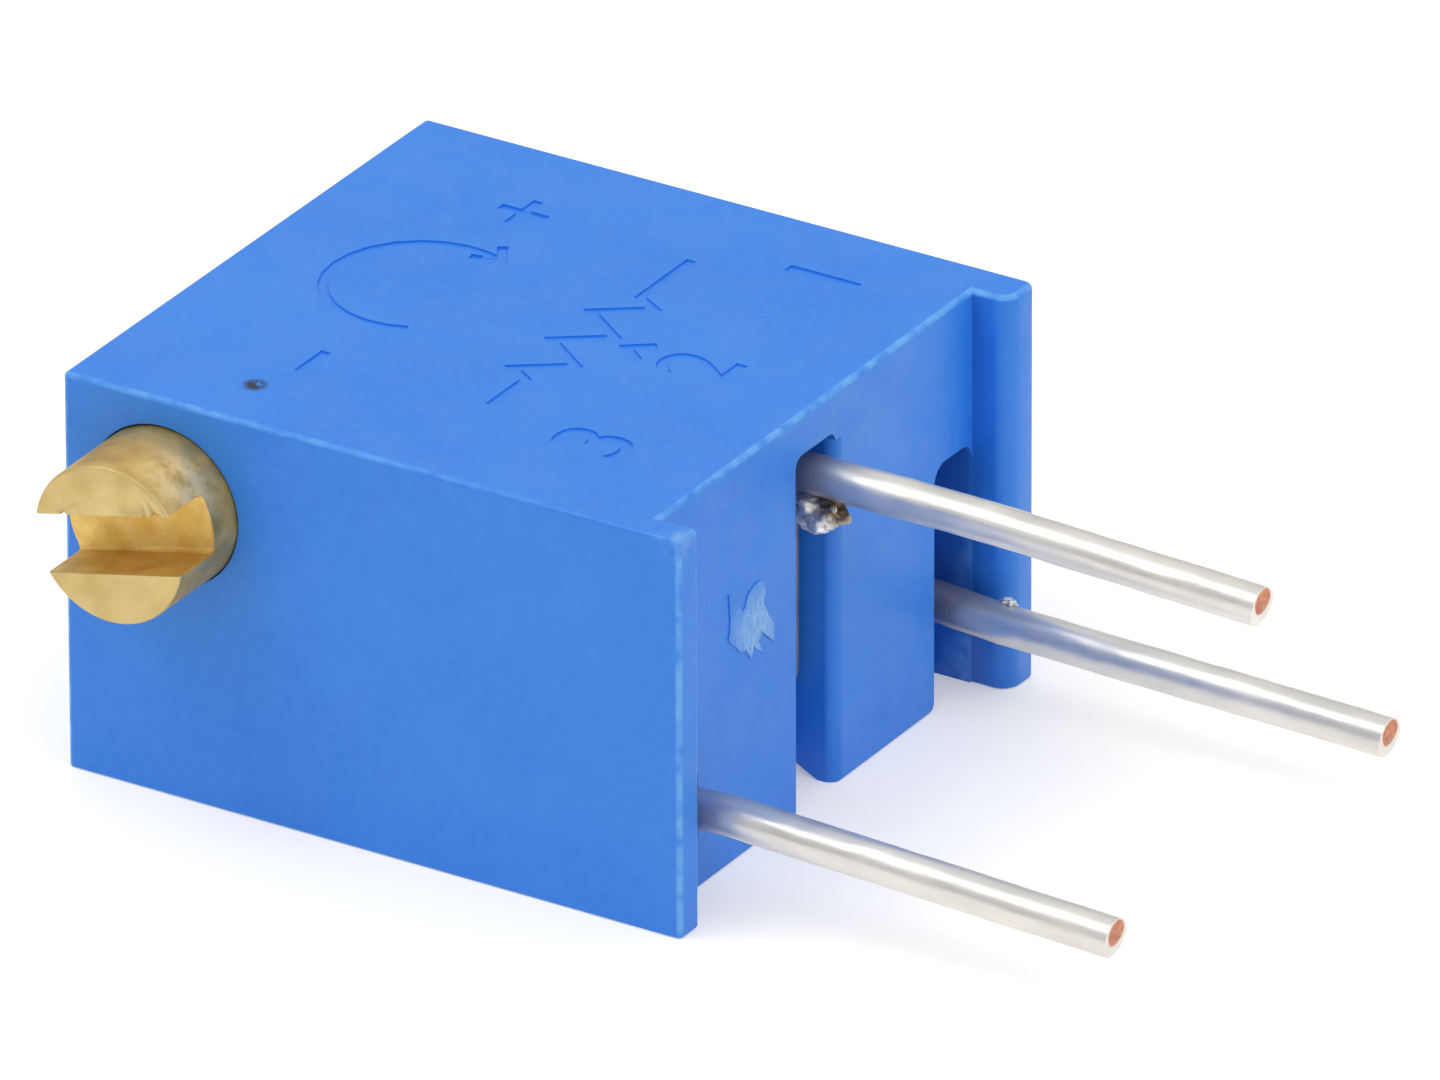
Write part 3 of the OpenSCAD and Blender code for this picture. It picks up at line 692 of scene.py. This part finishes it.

# Pale wear with a painted highlight along the edges, pale wear on the near corner, pale torn skin, and one
# speck of dirt by the screw
edge_wear_and_highlight = product(tree, attribute(tree, "worn_highlit_edge"), grain(tree, 0.2, 0.28, 0.62))
worn_and_highlit_blue = blend_colours(tree, edge_wear_and_highlight, recess_shaded_blue, (0.14, 0.45, 0.98))
near_corner = (seat_x - 0.04, -half_w + 0.03, case_h - 0.02)
scuff = product(tree, spot(tree, near_corner, 0.06, 0.22), grain(tree, 0.12, 0.32, 0.7))
scuffed_blue = blend_colours(tree, scuff, worn_and_highlit_blue, (0.17, 0.42, 0.86))
torn = product(tree, attribute(tree, "torn_skin"), grain(tree, 0.1, 0.2, 0.55, stretch=(1, 2.2, 1)))
palest = product(tree, torn, spot(tree, (half_l, -1.22, 2.36), 0.16, 0.42))
flaked_blue = blend_colours(tree, palest, scuffed_blue, (0.25, 0.52, 0.92))
dirt = product(tree, spot(tree, (-1.55, -2.57, case_h), 0.07, 0.08), grain(tree, 0.1, 0.3, 0.45))
dirty_blue = blend_colours(tree, dirt, flaked_blue, (0.006, 0.012, 0.04))
mould_texture = grain(tree, 0.05, 0.2, 0.8, 4.0)
set_surface(tree, surface, dirty_blue, speckle(tree, 0.5, 0.36, 0.46), mould_texture, 0.0012)
paint(case, blue_plastic)
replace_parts(case, "housing")
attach(case, "case")


# The adjusting screw: turned brass in one piece. A slotted head in the bore, a groove for the sealing
# ring, two collars beside the clip's neck, the worm and its journal. Its slot's edges have small nicks.
head_r = 0.84
head_end_y = -4.3
head_inner_y = -2.75
groove_r = 0.507
groove_cut_y = -2.55
slot_w = 0.62
slot_depth = 0.6
slot_turn = math.radians(13)


def rim_at(y):
    """The test for the sharp edges of a round end at one place on the screw's axis."""
    return lambda edge, ends: is_sharp(edge) and all(near(end.y, y) for end in ends)


screw = add_screw_bar("adjusting_screw", head_end_y, head_inner_y, head_r, 128)
bevel_edges(screw, rim_at(head_inner_y), 0.04, 2)
bevel_edges(screw, rim_at(head_end_y), 0.035, 3)

# The rim is worn flat at its upper left
worn_side = math.radians(105)
worn_share = 0.022
for vertex in screw.data.vertices:
    away = Vector((vertex.co.x / MM - screw_x, vertex.co.z / MM - screw_z))
    if vertex.co.y / MM < head_end_y + 0.1 and away.length > 0.5:
        facing = max(0.0, math.cos(math.atan2(away.y, away.x) - worn_side))
        away *= 1 - worn_share * facing ** 8
        vertex.co.x = (screw_x + away.x) * MM
        vertex.co.z = (screw_z + away.y) * MM


def slot_point(along, deep, across):
    """A point in the slot's own directions, in millimetres: along it, into the head, and across it."""
    turned = Vector((along * math.cos(slot_turn) - across * math.sin(slot_turn),
                     along * math.sin(slot_turn) + across * math.cos(slot_turn)))
    return Vector((screw_x + turned.x, head_end_y + deep, screw_z + turned.y))


def add_slot_block(low_corner, high_corner):
    """A block in the slot's own directions."""
    block = add_block("cut", low_corner, high_corner)
    for corner in block.data.vertices:
        corner.co = slot_point(corner.co.x / MM, corner.co.y / MM, corner.co.z / MM) * MM
    return block


slot_cutter = add_slot_block((-1.2, -0.3, -slot_w / 2), (1.2, slot_depth, slot_w / 2))
bevel_edges(slot_cutter, lambda edge, ends: all(end.y > head_end_y + 0.3 for end in ends)
            and abs(ends[0].x - ends[1].x) > 1, 0.05, 3)
cut(screw, slot_cutter)
nicks = [(-0.47, 0.315, 0.04), (-0.38, 0.31, 0.025), (0.5, 0.312, 0.035), (0.61, 0.33, 0.055),
         (0.665, 0.325, 0.035)]
for along, across, reach in nicks:
    nick_start = slot_point(along, -0.1, across)
    nick_end = slot_point(along + 0.03, 0.06, across - 0.02)
    cut(screw, add_bar("nick", nick_start, nick_end, reach, 7))
combine(screw, add_screw_bar("groove", head_inner_y - 0.1, groove_cut_y, groove_r), "UNION")

# The shank behind the groove is the CAD's own: the collars, the neck, the worm and the journal
shank = bpy.data.objects.new("shank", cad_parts["adjustment_screw"].data.copy())
bpy.context.scene.collection.objects.link(shank)
activate(shank)
bpy.ops.object.mode_set(mode="EDIT")
bpy.ops.mesh.select_all(action="SELECT")
bpy.ops.mesh.remove_doubles(threshold=0.0001 * MM)
bpy.ops.mesh.bisect(plane_co=point(0, groove_cut_y - 0.05, 0), plane_no=(0, 1, 0), use_fill=True,
                    clear_inner=True)
bpy.ops.object.mode_set(mode="OBJECT")
combine(screw, shank, "UNION")
settle(screw)
smooth_faces(screw, 35)

# Its colours are told apart by the distance from its axis, the depth, and the side of the slot. The slot's
# lower wall is darker with painted shade from the lip above it
turned_brass, tree, surface = make_finish("turned_brass", (0.6, 0.47, 0.2), 0.45, 0.8)
from_axis = add_node(tree, "ShaderNodeVectorMath", {
    0: own_place(tree), 1: point(screw_x, 0, screw_z)}, operation="SUBTRACT").outputs["Vector"]
at = parts_of(tree, from_axis)
radial = add_node(tree, "ShaderNodeCombineXYZ", {"X": at["X"], "Z": at["Z"]}).outputs["Vector"]
radius = add_node(tree, "ShaderNodeVectorMath", {0: radial}, operation="LENGTH").outputs["Value"]
across_slot = add_node(tree, "ShaderNodeVectorMath", {
    0: radial, 1: (-math.sin(slot_turn), 0, math.cos(slot_turn))}, operation="DOT_PRODUCT").outputs["Value"]
inside = ramp(tree, radius, head_r - 0.015, head_r - 0.03)
below = ramp(tree, at["Y"], head_end_y + 0.01, head_end_y + 0.06)
lower_wall_painted_shade = ramp(tree, across_slot, -0.27, -0.3)
plain_side = blend_colours(tree, grain(tree, 0.4, 0.35, 0.65), (0.60, 0.39, 0.11), (0.80, 0.56, 0.21))
rubbed = product(tree, spot(tree, (-1.6, -3.8, 3.75), 0.16, 0.4), grain(tree, 0.15, 0.3, 0.6))
side_brass = blend_colours(tree, rubbed, plain_side, (1.0, 0.77, 0.40))
face_brass = blend_colours(tree, grain(tree, 0.35, 0.3, 0.7), (0.62, 0.47, 0.19), (0.71, 0.56, 0.26))
floor_brass = blend_colours(tree, grain(tree, 0.3, 0.35, 0.65), (0.72, 0.45, 0.10), (0.80, 0.60, 0.21))
# Painted shade: the slot's lower wall is darker brass than its floor
shaded_wall_brass = blend_colours(tree, grain(tree, 0.3, 0.35, 0.65), (0.60, 0.39, 0.11), (0.76, 0.54, 0.19))
cut_brass = blend_colours(tree, lower_wall_painted_shade, floor_brass, shaded_wall_brass)
end_or_side = blend_colours(tree, below, face_brass, side_brass)
slot_or_end = blend_colours(tree, below, face_brass, cut_brass)
brass = blend_colours(tree, inside, end_or_side, slot_or_end)
lathe_lines = grain(tree, 0.04, 0.3, 0.7, 3.0, (1, 4, 1))
set_surface(tree, surface, brass, speckle(tree, 0.25, 0.42, 0.62), lathe_lines, 0.0015)
paint(screw, turned_brass)
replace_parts(screw, "adjustment_screw")
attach(screw, "screw")


# The sealing ring in the screw's groove, of black rubber, and the flat steel U over its neck
seal_rubber, tree, surface = make_finish("seal_rubber", (0.02, 0.02, 0.022), 0.6)
colour = blend_colours(tree, grain(tree, 0.2), (0.012, 0.012, 0.014), (0.035, 0.034, 0.034))
set_surface(tree, surface, colour, speckle(tree, 0.15, 0.5, 0.75), grain(tree, 0.05), 0.002)
paint(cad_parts["screw_o_ring"], seal_rubber)

clip_steel, tree, surface = make_finish("clip_steel", (0.55, 0.55, 0.57), 0.3, 1.0)
rolled = grain(tree, 0.08, 0.3, 0.7, 3.0, (0.1, 1, 1))
colour = blend_colours(tree, rolled, (0.45, 0.45, 0.48), (0.66, 0.66, 0.68))
set_surface(tree, surface, colour, speckle(tree, 0.2, 0.22, 0.4), rolled, 0.001)
paint(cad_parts["screw_clip"], clip_steel)


# The rotor: a worm wheel moulded in pale nylon on the case's pivot, with a sprung sheet of bright
# copper alloy riveted under it, which wipes the track and the collector
rotor_nylon, tree, surface = make_finish("rotor_nylon", (0.72, 0.71, 0.62), 0.45)
colour = blend_colours(tree, grain(tree, 0.8), (0.68, 0.67, 0.57), (0.77, 0.76, 0.68))
set_surface(tree, surface, colour, speckle(tree, 0.3, 0.38, 0.55), grain(tree, 0.06), 0.0015)
paint(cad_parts["worm_wheel"], rotor_nylon)

wiper_sheet, tree, surface = make_finish("wiper_sheet", (0.62, 0.48, 0.24), 0.25, 1.0)
rolled = grain(tree, 0.06, 0.3, 0.7, 3.0, (0.12, 1, 1))
colour = blend_colours(tree, rolled, (0.52, 0.39, 0.18), (0.72, 0.58, 0.32))
set_surface(tree, surface, colour, speckle(tree, 0.2, 0.18, 0.36), rolled, 0.0008)
paint(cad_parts["wiper"], wiper_sheet)


# The resistance element: a sawn alumina plate with a fired cermet track, and silver-bearing prints for
# the collector and the two end pads
alumina, tree, surface = make_finish("alumina", (0.84, 0.84, 0.8), 0.6)
colour = blend_colours(tree, grain(tree, 0.25), (0.78, 0.78, 0.74), (0.88, 0.88, 0.85))
set_surface(tree, surface, colour, speckle(tree, 0.1, 0.5, 0.7), grain(tree, 0.04, 0.25, 0.75, 4.0), 0.003)
paint(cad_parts["substrate"], alumina)

cermet, tree, surface = make_finish("cermet", (0.03, 0.03, 0.034), 0.35)
colour = blend_colours(tree, grain(tree, 0.05), (0.018, 0.018, 0.022), (0.055, 0.054, 0.058))
set_surface(tree, surface, colour, speckle(tree, 0.12, 0.25, 0.5), grain(tree, 0.03), 0.003)
paint(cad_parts["resistance_track"], cermet)

silver_print, tree, surface = make_finish("silver_print", (0.68, 0.67, 0.62), 0.4, 1.0)
colour = blend_colours(tree, grain(tree, 0.06), (0.55, 0.54, 0.48), (0.78, 0.77, 0.73))
set_surface(tree, surface, colour, speckle(tree, 0.1, 0.3, 0.55), grain(tree, 0.03), 0.003)
for printed in ("collector_track", "end_pad_1", "end_pad_3"):
    paint(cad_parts[printed], silver_print)


# The pins: soft copper wire, hot tinned, bent by hand and cut with nippers. The outer two run straight
# out under the ceramic, and the middle one climbs its channel and goes out above them.
wire_start_x = 1.25
elbow_r = 0.34
pin_skew = 4
far_droop = 1.1
near_droop = 2.1
middle_droop = 2
rim_t = 0.035
core_r = 0.13
core_shift = Vector((0, 0.015, 0.052))
nip_zone = 0.02
nip_slant = 0.035
lump_h = 0.007
ripple_h = 0.005


def draw_wire(name, start, steps, pace=0.12):
    """Draws a round wire that starts along +X: each step is a straight length in millimetres, or a
    bend as degrees towards +Z and a centreline radius."""
    bpy.ops.object.select_all(action="DESELECT")
    bpy.ops.mesh.primitive_circle_add(vertices=40, radius=wire_r * MM, fill_type="NOTHING",
                                      location=point(*start), rotation=(0, math.pi / 2, 0))
    wire = bpy.context.object
    wire.name = name
    bpy.ops.object.transform_apply(location=True, rotation=True, scale=True)
    bpy.ops.object.mode_set(mode="EDIT")
    bpy.ops.mesh.select_all(action="SELECT")
    here = Vector(start)
    heading = 0.0
    for step in steps:
        if isinstance(step, tuple):
            turn = math.radians(step[0])
            arm = math.copysign(step[1], turn)
            middle = here + Vector((-math.sin(heading), 0, math.cos(heading))) * arm
            bpy.ops.mesh.spin(steps=max(3, round(abs(step[0]) / 7)), angle=turn, center=middle * MM,
                              axis=(0, 1, 0))
            heading += turn
            here = middle + Vector((math.sin(heading), 0, -math.cos(heading))) * arm
        else:
            onward = Vector((math.cos(heading), 0, math.sin(heading)))
            pieces = max(1, round(step / pace))
            move = onward * (step / pieces) * MM
            for count in range(pieces):
                bpy.ops.mesh.extrude_edges_move(TRANSFORM_OT_translate={"value": move})
            here += onward * step
    bpy.ops.mesh.edge_face_add()
    for thickness, depth in ((rim_t, -0.004), (0.03, -0.006), (0.05, 0.004)):
        bpy.ops.mesh.inset(thickness=thickness * MM, depth=depth * MM)
    bpy.ops.mesh.select_all(action="DESELECT")
    bpy.ops.mesh.select_mode(type="EDGE")
    bpy.ops.mesh.select_non_manifold()
    bpy.ops.mesh.edge_face_add()
    bpy.ops.object.mode_set(mode="OBJECT")
    settle(wire, 0.0001)
    return wire, here, Vector((math.cos(heading), 0, math.sin(heading)))


def tinned_pin(node, y, steps, seed):
    """One finished pin with its lumps of tin and its nipped end."""
    wire, end, onward = draw_wire(node + "_wire", (wire_start_x, y, wire_z), steps)
    core_middles.append(end + core_shift)
    wire.data.update()
    normals = [vertex.normal.copy() for vertex in wire.data.vertices]
    for vertex, outward in zip(wire.data.vertices, normals):
        place = vertex.co / MM
        to_end = (end - place).dot(onward)
        if place.x > half_l and to_end > nip_zone:
            lump = noise.noise(Vector((place.x * 1.6, place.y * 4, place.z * 4)) + Vector((seed, 0, 0)))
            ripple = noise.noise(Vector((place.x * 5, place.y * 9, place.z * 9)) + Vector((0, seed, 0)))
            vertex.co += outward * (lump_h * lump + ripple_h * ripple) * MM
        elif to_end <= nip_zone:
            # The nippers smear the tin and leave the lower edge a little further back
            low = max(0.0, (end.z - place.z) / wire_r)
            vertex.co -= onward * nip_slant * low * MM
    smooth_faces(wire, 50)
    paint(wire, tinned_copper)
    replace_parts(wire, node)
    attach(wire, "case")


def outer_wire(first_bend, second_bend, length):
    """The steps of an outer pin: under the ceramic, two slow bends of 1 mm radius, and straight out."""
    bend_run = math.sin(math.radians(abs(first_bend))) + math.sin(math.radians(abs(second_bend)))
    between = side_knee - side_back_x - bend_run
    return [side_back_x - wire_start_x, (first_bend, 1), between, (second_bend, 1), length]


tinned_copper, tree, surface = make_finish("tinned_copper", (0.78, 0.77, 0.73), 0.25, 0.72)
core_middles = []
side_knee = seat_x + 0.12
riser_x = 2.8
pin_rise = 2.5
middle_wire = [riser_x - elbow_r - wire_start_x, (90, elbow_r), pin_rise - 2 * elbow_r, (-90, elbow_r), 1.6,
               (-middle_droop, 20), 2.822]
tinned_pin("pin_1", pin_pitch, outer_wire(-pin_skew, pin_skew - far_droop, 4.36), 3.0)
tinned_pin("pin_3", -pin_pitch, outer_wire(pin_skew, -pin_skew - near_droop, 4.31), 11.0)
tinned_pin("pin_2", 0, middle_wire, 7.0)

# Bright tin with painted shade and a painted dark reflection near the case, and bare copper inside the rim
# of each nipped end
drawn_grain = grain(tree, 0.35, 0.35, 0.65, 3.0, (0.35, 1, 1))
clean_tin = blend_colours(tree, drawn_grain, (0.73, 0.71, 0.67), (0.86, 0.83, 0.77))
clear_of_root_shade = ramp(tree, parts_of(tree, own_place(tree))["X"], half_l - 0.1, seat_x + 0.35)
# Painted shade and dark reflection on the tin near the case
pin_colour = blend_colours(tree, clear_of_root_shade, (0.40, 0.40, 0.44), clean_tin)
copper = blend_colours(tree, grain(tree, 0.06), (0.44, 0.15, 0.08), (0.62, 0.25, 0.13))
for core_middle in core_middles:
    pin_colour = blend_colours(tree, spot(tree, core_middle, core_r, 0.02), pin_colour, copper)
tin_relief = grain(tree, 0.16, 0.3, 0.7, 3.0, (0.3, 1, 1))
set_surface(tree, surface, pin_colour, speckle(tree, 0.3, 0.28, 0.42), tin_relief, 0.002)


# Solder: round joints between the wires and their pads, a bead of spare solder with brown flux in the
# crook of the middle pin, and a crumb of it on the far pin
solder_metal, tree, surface = make_finish("solder_metal", (0.6, 0.6, 0.6), 0.35, 0.65)
flux = product(tree, spot(tree, (3.5, -0.03, 3.24), 0.15, 0.14), grain(tree, 0.12, 0.25, 0.5, 2.0))
clean_solder = blend_colours(tree, grain(tree, 0.2, 0.35, 0.65), (0.80, 0.79, 0.76), (0.96, 0.94, 0.91))
colour = blend_colours(tree, flux, clean_solder, (0.13, 0.085, 0.045))
set_surface(tree, surface, colour, speckle(tree, 0.1, 0.25, 0.5), grain(tree, 0.1), 0.006)
for joint in ("solder_1", "solder_2", "solder_3"):
    paint(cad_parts[joint], solder_metal)


def add_lump(name, middle, reach, seed):
    """A crumpled lump of solder around a point, with its reach along each axis in millimetres."""
    bpy.ops.object.select_all(action="DESELECT")
    bpy.ops.mesh.primitive_ico_sphere_add(subdivisions=5, radius=MM)
    lump = bpy.context.object
    lump.name = name
    for vertex in lump.data.vertices:
        way = vertex.co.normalized()
        crumple = 1 + 0.42 * noise.noise(way * 1.7 + Vector((seed, 0, 0))) + 0.14 * noise.noise(way * 4)
        vertex.co = point(*middle) + point(way.x * reach[0], way.y * reach[1], way.z * reach[2]) * crumple
    settle(lump)
    smooth_faces(lump, 60)
    paint(lump, solder_metal)
    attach(lump, "case")
    return lump


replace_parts(add_lump("spare_solder", (3.31, -0.06, 3.12), (0.27, 0.18, 0.19), 5), "solder_bead")
add_lump("solder_crumb", (3.86, 2.59, 1.14), (0.085, 0.045, 0.04), 2)


# The sealing compound: blue resin poured into the open pocket, over the joints and level with the rim.
# It creeps up the walls as it sets and holds a few pinholes.
resin_high = 1.205
sag = 0.05
resin = add_block("resin_fill", (*pocket_low, 0), (*pocket_high, resin_high))
activate(resin)
bpy.ops.object.mode_set(mode="EDIT")
pick(resin, "FACE", lambda face, corners: face.normal.z < -0.9)
for thickness, share in ((0.06, 0), (0.12, 0.6), (0.3, 0.4)):
    bpy.ops.mesh.inset(thickness=thickness * MM, depth=-share * sag * MM)
bpy.ops.object.mode_set(mode="OBJECT")
pinholes = [(-1.6, 1.1, 0.07), (0.9, -1.9, 0.05), (-0.4, -0.6, 0.035), (1.3, 1.7, 0.045), (-2.0, -1.5, 0.03)]
for x, y, hole_r in pinholes:
    cut(resin, add_bar("pinhole", (x, y, -0.2), (x, y, sag + hole_r), hole_r, 24))
settle(resin)
smooth_faces(resin, 30)
blue_resin, tree, surface = make_finish("blue_resin", (0.05, 0.13, 0.36), 0.2)
colour = blend_colours(tree, grain(tree, 1.2), (0.035, 0.10, 0.30), (0.06, 0.16, 0.42))
set_surface(tree, surface, colour, speckle(tree, 0.6, 0.12, 0.3), grain(tree, 0.5), 0.01)
paint(resin, blue_resin)
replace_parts(resin, "bottom_seal")
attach(resin, "case")
